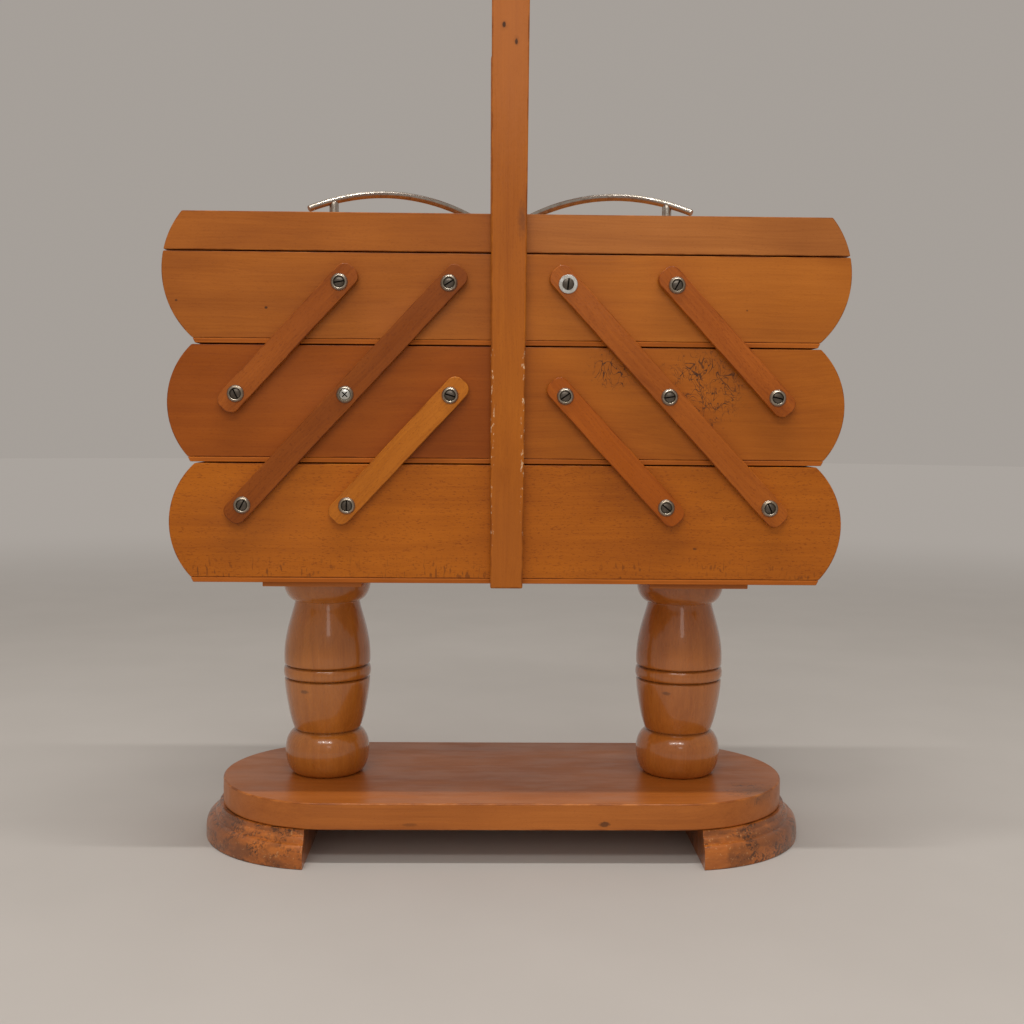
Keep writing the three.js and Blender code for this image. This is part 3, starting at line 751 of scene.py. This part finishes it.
def build_bottom_box():
    z0, z1 = bottom_low[2], bottom_high[2]
    right = end_arc(z0, z1, *BOTTOM_ARC)
    outline = right + [(-x, z) for x, z in reversed(right)]
    features = [
        ticks(z0 + 0.004, z0 + 0.016, 0.75),
        cloud((-0.15, bottom_low[1], 0.222), (0.07, 0.02, 0.045), 0.25, (0.40, 0.12, 0.02, 1.0)),
        spot((0.118, bottom_low[1], 0.2035), (0.0016, 0.003, 0.0010), 0.6),
    ]
    board_piece("bottom_front_board", outline, BOTTOM_COLOUR, STAND, 21.0, features, fleck=0.55)
    board_piece("bottom_back_board", outline, BOTTOM_COLOUR, STAND, 24.0)
    for side, sign in SIDES:
        node = f"bottom_end_{side}"
        end_outline = tray_outline(z0, z1, BOTTOM_ARC, sign, END_INNER_X)
        end_piece(node, end_outline, BOTTOM_COLOUR, STAND, 26.0 + sign)
    floor_piece("bottom_floor", BOTTOM_ARC, 1, 0.0, STAND, both=True)


TIER_COLOURS = {
    ("middle", "left"): (0.315, 0.072, 0.004),
    ("middle", "right"): (0.405, 0.111, 0.008),
    ("top", "left"): (0.386, 0.110, 0.012),
    ("top", "right"): (0.429, 0.125, 0.012),
    ("lid", "left"): (0.381, 0.109, 0.013),
    ("lid", "right"): (0.414, 0.135, 0.026),
}


def tray_features(level, side, face_y):
    """The marks on the front board of one tray."""
    marks = {
        ("middle", "left"): [
            cloud((-0.13, face_y, 0.30), (0.07, 0.02, 0.03), 0.25, (0.36, 0.095, 0.02, 1.0)),
        ],
        ("middle", "right"): [
            scribble((0.121, face_y, 0.304), (0.031, 0.03, 0.028), 80.0, 0.95, (0.0, 3.1, 5.7, 8.3)),
            scribble((0.066, face_y, 0.315), (0.017, 0.03, 0.015), 85.0, 0.9, (1.4, 4.4, 9.2)),
        ],
        ("top", "left"): [
            spot((-0.149, face_y, 0.351), (0.0013, 0.003, 0.0009), 0.85),
            spot((-0.204, face_y, 0.355), (0.0011, 0.003, 0.0008), 0.7),
            cloud((-0.06, face_y, 0.345), (0.05, 0.02, 0.02), 0.3, (0.42, 0.125, 0.025, 1.0)),
        ],
        ("top", "right"): [spot((0.148, face_y, 0.352), (0.0009, 0.003, 0.0007), 0.6)],
    }
    return marks[level, side]


def build_tray(level, side, sign, arc):
    tray = f"{level}_tray_{side}"
    colour = TIER_COLOURS[level, side]
    low, high = limits(f"{tray}_front")
    inner_x = min(abs(low[0]), abs(high[0]))
    outline = tray_outline(low[2], high[2], arc, sign, inner_x)
    seed = (31.0 if level == "middle" else 41.0) + sign * 3
    board_piece(f"{tray}_front", outline, colour, tray, seed, tray_features(level, side, low[1]))
    board_piece(f"{tray}_back", outline, colour, tray, seed + 1.3)
    end_outline = tray_outline(low[2], high[2], arc, sign, END_INNER_X)
    end_piece(f"{tray}_outer_end", end_outline, colour, tray, seed + 2.1, recessed=level == "top")
    bm = fresh()
    block(bm, *limits(f"{tray}_inner_end"))
    wooden(f"{tray}_inner_end", bm, tray, colour, GRAIN_Y, seed + 2.9)
    floor_piece(f"{tray}_floor", arc, sign, inner_x, tray)


def build_lid_frame(side, sign, colour):
    node = f"lid_{side}_frame"
    low, high = limits(node)
    inner_x = min(abs(low[0]), abs(high[0]))
    outline = tray_outline(low[2], high[2], TOP_ARC, sign, inner_x)
    bm = fresh()
    prism(bm, outline, low[1], low[1] + BOARD, 0.0007, 2)
    prism(bm, outline, high[1] - BOARD, high[1], 0.0007, 2)
    y0 = low[1] + BOARD + GLUE_GAP
    y1 = high[1] - BOARD - GLUE_GAP
    outer = tray_outline(low[2], high[2], TOP_ARC, sign, END_INNER_X)
    raised = [(x, max(z, low[2] + RECESS_DEPTH)) for x, z in outer]
    recessed_end(bm, outer, y0, y1, raised)
    x0, x1 = sorted((sign * inner_x, sign * (inner_x + BOARD)))
    block(bm, (x0, y0, low[2]), (x1, y1, high[2]))
    wooden(node, bm, f"lid_{side}", colour, GRAIN_X, 51.0 + sign * 2)


def build_lid_panel(side, sign, colour):
    node = f"lid_{side}_panel"
    bm = fresh()
    block(bm, *limits(node), 0.0006, 2)
    wooden(node, bm, f"lid_{side}", shade(colour, 1.02, 1.02, 1.02), GRAIN_X, 55.0 + sign * 2, gloss=0.3)


# --- Metal ---

NICKEL = nickel("tarnished_nickel", (0.42, 0.375, 0.31), 0.30, 0.48, 0.6)
BOW_METAL = nickel("bow_handle_nickel", (0.52, 0.48, 0.43), 0.20, 0.34, 0.45, 5.0)
BRIGHT = nickel("bright_zinc", (0.66, 0.66, 0.63), 0.26, 0.40, 0.25, 3.0)
SCREW = nickel("dull_steel", (0.15, 0.13, 0.11), 0.35, 0.55, 0.5, 7.0)
# Near black: painted shade inside the screws' slots
SLOT_SHADE = nickel("slot_grime", (0.025, 0.020, 0.016), 0.55, 0.80, 0.3, 9.0)


BOW_HALF = 0.0655
BOW_BAR_RADIUS = 0.0024
BOW_RISE = 0.0145
BOW_END_HEIGHT = 0.0095
BOW_POST_AT = 0.048
BOW_TURN = math.radians(29)
BOW_SQUARE_END = 0.0004


def bow_height(x):
    return BOW_END_HEIGHT + BOW_RISE * (1 - (x / BOW_HALF) ** 2)


def bow_bar(bm, place, sides=20, spans=80):
    """The arched bar: a tip, a slightly smaller square-cut end, then a bar that thins towards its ends."""
    middle = [-BOW_HALF + 2 * BOW_HALF * i / spans for i in range(1, spans)]
    inset = BOW_HALF - BOW_SQUARE_END
    stations = [(-BOW_HALF, 0.0), (-BOW_HALF, 0.86), *((x, 1.0) for x in (-inset, *middle, inset))]
    stations += [(BOW_HALF, 0.86), (BOW_HALF, 0.0)]
    rings = []
    for x, share in stations:
        if share == 0.0:
            rings.append([bm.verts.new(place(x, 0.0, bow_height(x)))])
            continue
        along = Vector((1.0, 0.0, -2 * BOW_RISE * x / BOW_HALF ** 2)).normalized()
        radius = BOW_BAR_RADIUS * share * (0.90 + 0.10 * min(1.0, (BOW_HALF - abs(x)) / 0.03))
        ring = []
        for k in range(sides):
            a = 2 * math.pi * k / sides
            up = radius * math.sin(a)
            spot_at = (x - along.z * up, radius * math.cos(a), bow_height(x) + along.x * up)
            ring.append(bm.verts.new(place(*spot_at)))
        rings.append(ring)
    stitch(bm, rings)


def build_bow_handle(side, sign):
    """An arched bar on two posts, turned so that its inner end is the further back."""
    node = f"lid_{side}_bow_handle"
    low, high = limits(node)
    lid_top = low[2]
    centre = (low[0] + high[0]) / 2
    turn = Matrix.Rotation(-sign * BOW_TURN, 3, "Z")

    def place(x, y, h):
        turned = turn @ Vector((x, y, 0.0))
        return (centre + turned.x, turned.y, lid_top + h)

    bm = fresh()
    bow_bar(bm, place)
    top = bow_height(BOW_POST_AT) - 0.0006
    profile = [
        (0.0, 0.0), (0.0040, 0.0), (0.0042, 0.0004), (0.0042, 0.0012), (0.0038, 0.0018), (0.0034, 0.0030),
        (0.0032, 0.0060), (0.0031, 0.0110), (0.0031, top - 0.0030), (0.0030, top - 0.0012), (0.0024, top),
        (0.0, top),
    ]
    for foot in (-BOW_POST_AT, BOW_POST_AT):
        lathe(bm, profile, 28, place=lambda x, y, h, foot=foot: place(foot + x, y, h))
    bmesh.ops.recalc_face_normals(bm, faces=bm.faces[:])
    finish_piece(f"{node}_metal", bm, [BOW_METAL], f"lid_{side}", [node], sharp=50.0)


LEAF = 0.001
KNUCKLE_RADIUS = 0.002
PIN_RADIUS = 0.0009
LEAF_TO_AXIS = 0.003


def cylinder_along_y(bm, axis, y0, y1, radius, sides):
    inset = 0.0003
    profile = [(radius - inset, y0), (radius, y0 + inset), (radius, y1 - inset), (radius - inset, y1)]
    lathe(bm, profile, sides, place=lambda x, z, h: (axis[0] + x, h, axis[2] + z))


def build_hinge_leaf(node, body, axis, sign, plate_z, spans, pin):
    """A let-in leaf with a knuckle over each span along y, and the pin if it is this leaf's."""
    low, high = limits(node)
    inner_x = sign * min(abs(low[0]), abs(high[0]))
    plate_x = axis[0] - sign * LEAF_TO_AXIS
    bm = fresh()
    x0, x1 = sorted((inner_x, plate_x))
    block(bm, (x0, low[1], plate_z), (x1, high[1], plate_z + LEAF), 0.00025, 2)
    x0, x1 = sorted((plate_x - sign * 0.0002, axis[0]))
    for y0, y1 in spans:
        block(bm, (x0, y0, plate_z), (x1, y1, plate_z + LEAF), 0.0, 1)
        cylinder_along_y(bm, axis, y0, y1, KNUCKLE_RADIUS, 28)
    if pin:
        cylinder_along_y(bm, axis, low[1] + 0.001, high[1] - 0.001, PIN_RADIUS, 16)
    finish_piece(f"{node}_metal", bm, [NICKEL], body, [node], sharp=50.0)


def build_hinge(side, sign):
    axis = PIVOTS[f"{side}_lid_hinge"]
    node = f"top_tray_{side}_hinge_leaf"
    low, high = limits(node)
    outer_spans = [(low[1], -0.0103), (0.0103, high[1])]
    build_hinge_leaf(node, f"top_tray_{side}", axis, sign, axis[2] - 0.0014, outer_spans, pin=True)
    node = f"lid_{side}_hinge_leaf"
    build_hinge_leaf(node, f"lid_{side}", axis, sign, axis[2] + 0.0004, [(-0.0099, 0.0099)], pin=False)


# --- Arms and their screws ---


HEAD_PROFILE = [
    (0.0, -0.0012), (0.0019, -0.0008), (0.0033, 0.0004), (0.0033, 0.0006), (0.0029, 0.00095),
    (0.0022, 0.00125), (0.0012, 0.00145), (0.0, 0.0015),
]
SLOT_CUTS = [(0.0100, 0.00092)]
CROSS_CUTS = [(0.0044, 0.00072), (0.00072, 0.0044)]
CUT_DEPTH = 0.0016
CUT_MIDDLE = 0.0013


def in_slot(polygon):
    """Whether a face of a screw head is the floor or a wall of its slot."""
    floor = polygon.normal.z > 0.9 and polygon.center.z < 0.0008
    wall = abs(polygon.normal.z) < 0.1
    return (floor or wall) and polygon.center.xy.length < 0.0031


def head_template(cuts):
    """A screw head on the plane h = 0 with its cuts, as (vertices, [(face, whether in a slot)])."""
    bm = fresh()
    lathe(bm, HEAD_PROFILE, 40)
    head = plain_object("head", bm)
    cutters = []
    for length, width in cuts:
        cut = bmesh.new()
        size = Matrix.Diagonal((length, width, CUT_DEPTH, 1.0))
        bmesh.ops.create_cube(cut, size=1.0, matrix=Matrix.Translation((0.0, 0.0, CUT_MIDDLE)) @ size)
        cutter = plain_object("cutter", cut)
        modifier = head.modifiers.new("cut", "BOOLEAN")
        modifier.operation = "DIFFERENCE"
        modifier.solver = "EXACT"
        modifier.object = cutter
        cutters.append(cutter)
    bpy.context.view_layer.update()
    made = bpy.data.meshes.new_from_object(head.evaluated_get(bpy.context.evaluated_depsgraph_get()))
    points = [v.co.copy() for v in made.vertices]
    faces = [(tuple(p.vertices), in_slot(p)) for p in made.polygons]
    for thing in [head, *cutters]:
        bpy.data.objects.remove(thing)
    return points, faces


SLOTTED = head_template(SLOT_CUTS)
CROSSED = head_template(CROSS_CUTS)

# Washers, as (radius, height above the arm's face)
CUP = [
    (0.0, 0.0), (0.0053, 0.0), (0.0053, 0.0003), (0.0051, 0.0007), (0.0046, 0.0013), (0.0042, 0.0017),
    (0.00385, 0.00185), (0.0036, 0.0017), (0.0034, 0.0013), (0.0033, 0.0008), (0.0, 0.0007),
]
FLAT_WASHER = [
    (0.0, 0.0), (0.0056, 0.0), (0.0058, 0.0002), (0.0058, 0.0008), (0.0056, 0.0010), (0.0, 0.0010),
]


# What each kind of screw has: its washer, its head, how far the head stands up, and the head's scale.
SCREW_PARTS = {
    "cup": (CUP, SLOTTED, 0.0004, 1.0),
    "cross": (CUP, CROSSED, 0.0009, 1.0),
    "flat": (FLAT_WASHER, SLOTTED, 0.0009, 1.1),
}
SCREW_METALS = [NICKEL, BRIGHT, SCREW, SLOT_SHADE]


def add_screw(bm, x, z, face_y, out, turn, kind):
    """A washer and screw standing out from an arm's face. out is -1 at the front and 1 at the back."""
    def place(px, pz, h):
        return (x + px, face_y + out * h, z + pz)

    washer, (points, head_faces), lift, share = SCREW_PARTS[kind]
    start = len(bm.faces)
    lathe(bm, washer, 40, place)
    bm.faces.ensure_lookup_table()
    washer_metal = BRIGHT if kind == "flat" else NICKEL
    for face in bm.faces[start:]:
        face.material_index = SCREW_METALS.index(washer_metal)
    spin = Matrix.Rotation(turn, 3, "Z")
    made = []
    for point in points:
        p = spin @ point
        made.append(bm.verts.new(place(p.x * share, p.y * share, p.z + lift)))
    head_metal = BRIGHT if kind == "cross" else SCREW
    faces = []
    # The slot's floor and walls take the near-black painted shade
    for corners, slot in head_faces:
        face = bm.faces.new([made[i] for i in corners])
        face.material_index = SCREW_METALS.index(SLOT_SHADE if slot else head_metal)
        faces.append(face)
    bmesh.ops.recalc_face_normals(bm, faces=faces)


ARM_COLOURS = {
    ("left", "long"): (0.250, 0.058, 0.005),
    ("left", "outer"): (0.326, 0.080, 0.009),
    ("left", "inner"): (0.455, 0.134, 0.010),
    ("right", "long"): (0.385, 0.097, 0.009),
    ("right", "outer"): (0.369, 0.088, 0.008),
    ("right", "inner"): (0.361, 0.080, 0.004),
}
# The screws that differ from the slotted ones in cups, by side, arm, end and pivot
SCREW_KINDS = {("left", "long", "front", 1): "cross", ("right", "long", "front", 2): "flat"}
PIVOT_RUN = 0.0635
PIVOT_RISE = 0.0685
PIVOT_SPACING = math.hypot(PIVOT_RUN, PIVOT_RISE)
ARM_HALF = 0.0075
ARM_END = 0.0123
ARM_CORNER = 0.006
ARM_INNER_Y = 0.0825
ARM_OUTER_Y = 0.0875


def arm_outline(length, steps=10):
    """A bar with rounded corners, past a pivot at 0 and one at length, as (along, across)."""
    flank = ARM_HALF - ARM_CORNER
    start = ARM_CORNER - ARM_END
    stop = length + ARM_END - ARM_CORNER
    outline = []
    for u, v, first in ((start, flank, 1), (start, -flank, 2), (stop, -flank, 3), (stop, flank, 4)):
        for i in range(steps + 1):
            a = math.pi / 2 * (first + i / steps)
            outline.append((u + ARM_CORNER * math.cos(a), v + ARM_CORNER * math.sin(a)))
    return outline


def build_arm(side, sign, kind, end, number):
    node = f"arm_{side}_{kind}_{end}"
    body = f"{kind}_arms_{side}"
    pivot = PIVOTS[f"{side}_{kind}_arms_swing"]
    reach = 2 if kind == "long" else 1
    along = Vector((-sign * PIVOT_RUN, PIVOT_RISE)) / PIVOT_SPACING
    across = Vector((-along.y, along.x))
    out = -1 if end == "front" else 1

    def place(u, v, y):
        return (pivot[0] + along.x * u + across.x * v, y, pivot[2] + along.y * u + across.y * v)

    bm = fresh()
    outline = arm_outline(PIVOT_SPACING * reach)
    prism(bm, outline, out * ARM_INNER_Y, out * ARM_OUTER_Y, 0.0006, 3, place=place)
    grain = (0.0, math.atan2(along.y, along.x), 0.0)
    wooden(
        node, bm, body, ARM_COLOURS[side, kind], grain, 60.0 + number * 1.7, "dark_beech",
        gloss=0.30, figure=0.9, fleck=0.4, wear=0.3,
    )

    bm = fresh()
    for i in range(reach + 1):
        x, _, z = place(PIVOT_SPACING * i, 0.0, 0.0)
        look = SCREW_KINDS.get((side, kind, end, i), "cup")
        add_screw(bm, x, z, out * ARM_OUTER_Y, out, 1.1 + number * 0.9 + i * 1.3, look)
    finish_piece(f"{node}_screws", bm, SCREW_METALS, body, sharp=40.0)


# --- Carrying handle ---


POST_COLOUR = (0.41, 0.112, 0.007)
GRIP_COLOUR = (0.44, 0.120, 0.014)
POST_FOOT_HALF = 0.010
NAIL_STAIN = (0.20, 0.062, 0.016, 1.0)


def post_outline(low, high, rungs=12, steps=28):
    """A post that widens upwards to a round head."""
    head_half = high[0]
    shoulder = high[2] - head_half
    angles = [math.pi * i / steps for i in range(steps + 1)]
    crown = [(head_half * math.cos(a), shoulder + head_half * math.sin(a)) for a in angles]
    right = []
    for i in range(rungs):
        share = i / rungs
        half = POST_FOOT_HALF + (head_half - POST_FOOT_HALF) * share
        right.append((half, low[2] + (shoulder - low[2]) * share))
    return right + crown + mirrored(reversed(right), -1)


def build_post(end):
    node = f"handle_post_{end}"
    low, high = limits(node)
    bm = fresh()
    prism(bm, post_outline(low, high), low[1], high[1], 0.0010, 3)
    face_y = low[1] if end == "front" else high[1]
    features = [
        cloud((0.0, face_y, 0.52), (0.03, 0.03, 0.11), 0.45, (0.48, 0.165, 0.050, 1.0)),
        cloud((0.0, face_y, 0.20), (0.03, 0.03, 0.06), 0.35, (0.36, 0.100, 0.014, 1.0)),
        edge_flecks(0.200, 0.335, 0.0076),
        spot((-0.004, face_y, 0.5200), (0.0030, 0.003, 0.0044), 0.35, NAIL_STAIN, 0.8),
        spot((-0.0040, face_y, 0.5203), (0.0014, 0.002, 0.0024), 0.9),
        spot((0.0035, face_y, 0.5110), (0.0024, 0.003, 0.0044), 0.35, NAIL_STAIN, 0.8),
        spot((0.0035, face_y, 0.5107), (0.0011, 0.002, 0.0024), 0.85),
        spot((0.0080, face_y, 0.405), (0.004, 0.004, 0.016), 0.65, (0.16, 0.048, 0.014, 1.0), 0.9),
    ]
    wooden(node, bm, STAND, POST_COLOUR, GRAIN_Z, 81.0 + low[1] * 20, "dark_beech", features=features)


def build_grip(rungs=12, bevel=0.0006):
    low, high = limits("handle_grip")
    radius = (high[2] - low[2]) / 2
    middle = (high[2] + low[2]) / 2
    bm = fresh()
    profile = [(0.0, low[1]), (radius - bevel, low[1]), (radius, low[1] + bevel)]
    profile += [(radius, low[1] + (high[1] - low[1]) * i / rungs) for i in range(1, rungs)]
    profile += [(radius, high[1] - bevel), (radius - bevel, high[1]), (0.0, high[1])]
    lathe(bm, profile, 48, place=lambda x, z, h: (x, h, middle + z))
    wooden("handle_grip", bm, STAND, GRIP_COLOUR, GRAIN_Y, 90.0, "dark_beech", sharp=60.0, gloss=0.34)


# --- Building ---

build_base_board()
build_bottom_box()
build_post("front")
build_post("back")
build_grip()
for side, sign in SIDES:
    build_foot(side, sign)
    build_leg(side, sign)
    build_leg_plate(side)
    build_tray("middle", side, sign, MIDDLE_ARC)
    build_tray("top", side, sign, TOP_ARC)
    build_lid_frame(side, sign, TIER_COLOURS["lid", side])
    build_lid_panel(side, sign, TIER_COLOURS["lid", side])
    build_bow_handle(side, sign)
    build_hinge(side, sign)
    for number, kind in enumerate(("long", "inner", "outer")):
        for end in ("front", "back"):
            build_arm(side, sign, kind, end, number * 4 + (end == "back") * 2 + (sign > 0))


# --- Stage, light and camera ---


SKY = (0.38, 0.348, 0.318, 1.0)


def build_stage(sides=96):
    """A pale round floor that fades into the plain surroundings away from the object."""
    angles = [-2 * math.pi * i / sides for i in range(sides)]
    bm = bmesh.new()
    rings = [[bm.verts.new((0.0, 0.0, 0.0))]]
    for radius in (0.5, 1.0, 2.0, 4.0, 9.0):
        rings.append([bm.verts.new((radius * math.cos(a), radius * math.sin(a), 0.0)) for a in angles])
    stitch(bm, rings)
    stage = plain_object("stage_floor", bm)
    paint = Paint("stage_paper")
    grain = paint.noise(paint.point, (9.0, 9.0, 9.0), 3.0)
    pale = paint.mix(grain, (0.50, 0.478, 0.453, 1.0), (0.55, 0.526, 0.50, 1.0))
    away = paint.span(paint.vector("LENGTH", paint.point), 0.7, 2.6)
    faded = paint.mix(away, pale, (0.0, 0.0, 0.0, 1.0))
    paint.set(Base_Color=faded, Roughness=0.8, Specular_IOR_Level=0.15)
    paint.set(Emission_Color=SKY, Emission_Strength=away)
    stage.data.materials.append(paint.material)


def area_light(name, position, target, size_x, size_y, power, colour):
    lamp = bpy.data.lights.new(name, "AREA")
    lamp.shape = "RECTANGLE"
    lamp.size = size_x
    lamp.size_y = size_y
    lamp.energy = power
    lamp.color = colour
    holder = bpy.data.objects.new(name, lamp)
    bpy.context.scene.collection.objects.link(holder)
    holder.location = position
    holder.rotation_euler = (Vector(target) - Vector(position)).to_track_quat("-Z", "Y").to_euler()
    return holder


build_stage()
WARM = (1.0, 0.965, 0.92)
area_light("tube_near", (0.0, -0.40, 1.75), (0.0, -0.05, 0.1), 1.3, 0.05, 12.5, WARM)
area_light("tube_front", (-0.2, -1.65, 1.75), (0.0, 0.0, 0.3), 1.5, 0.30, 8.0, WARM)
area_light("tube_back", (0.2, 0.35, 1.95), (0.0, 0.1, 0.2), 1.4, 0.25, 2.5, (1.0, 0.97, 0.94))
low_front = area_light(
    "low_front", (-0.25, -1.75, 0.70), (0.0, 0.0, 0.12), 1.6, 0.70, 4.2, (1.0, 0.96, 0.91),
)
low_front.visible_glossy = False
# Small lights that put the gleams on the turned legs
area_light("leg_gleam", (0.15, -1.6, 0.72), (0.0, 0.0, 0.12), 0.30, 0.30, 0.5, (1.0, 0.97, 0.93))
for number, x in enumerate((-0.30, 0.16)):
    area_light(f"spark_{number}", (x, -1.2, 1.35), (0.0, 0.0, 0.08), 0.10, 0.10, 0.6, (1.0, 0.98, 0.95))

world = bpy.data.worlds.new("studio")
bpy.context.scene.world = world
world.use_nodes = True
background = world.node_tree.nodes["Background"]
background.inputs["Color"].default_value = SKY
background.inputs["Strength"].default_value = 1.0

EYE = (-0.0132, -0.8908, 0.2817)
YAW, PITCH, ROLL = (math.radians(angle) for angle in (-1.17, 3.94, 0.47))
LENS = 45.703


def build_camera():
    """A camera close in front, looking slightly down. The basis has rows right, down and forward."""
    level = Matrix(((1, 0, 0), (0, 0, -1), (0, 1, 0)))
    tilt = Matrix.Rotation(ROLL, 3, "Z") @ Matrix.Rotation(PITCH, 3, "X")
    right, down, forward = tilt @ level @ Matrix.Rotation(YAW, 3, "Z").transposed()
    columns = Matrix((right, -down, -forward)).transposed()
    data = bpy.data.cameras.new("camera")
    data.sensor_width = 36.0
    data.lens = LENS
    data.clip_start = 0.01
    camera = bpy.data.objects.new("camera", data)
    bpy.context.scene.collection.objects.link(camera)
    camera.matrix_world = Matrix.Translation(EYE) @ columns.to_4x4()
    bpy.context.scene.camera = camera


build_camera()
bpy.context.scene.view_settings.view_transform = "Standard"
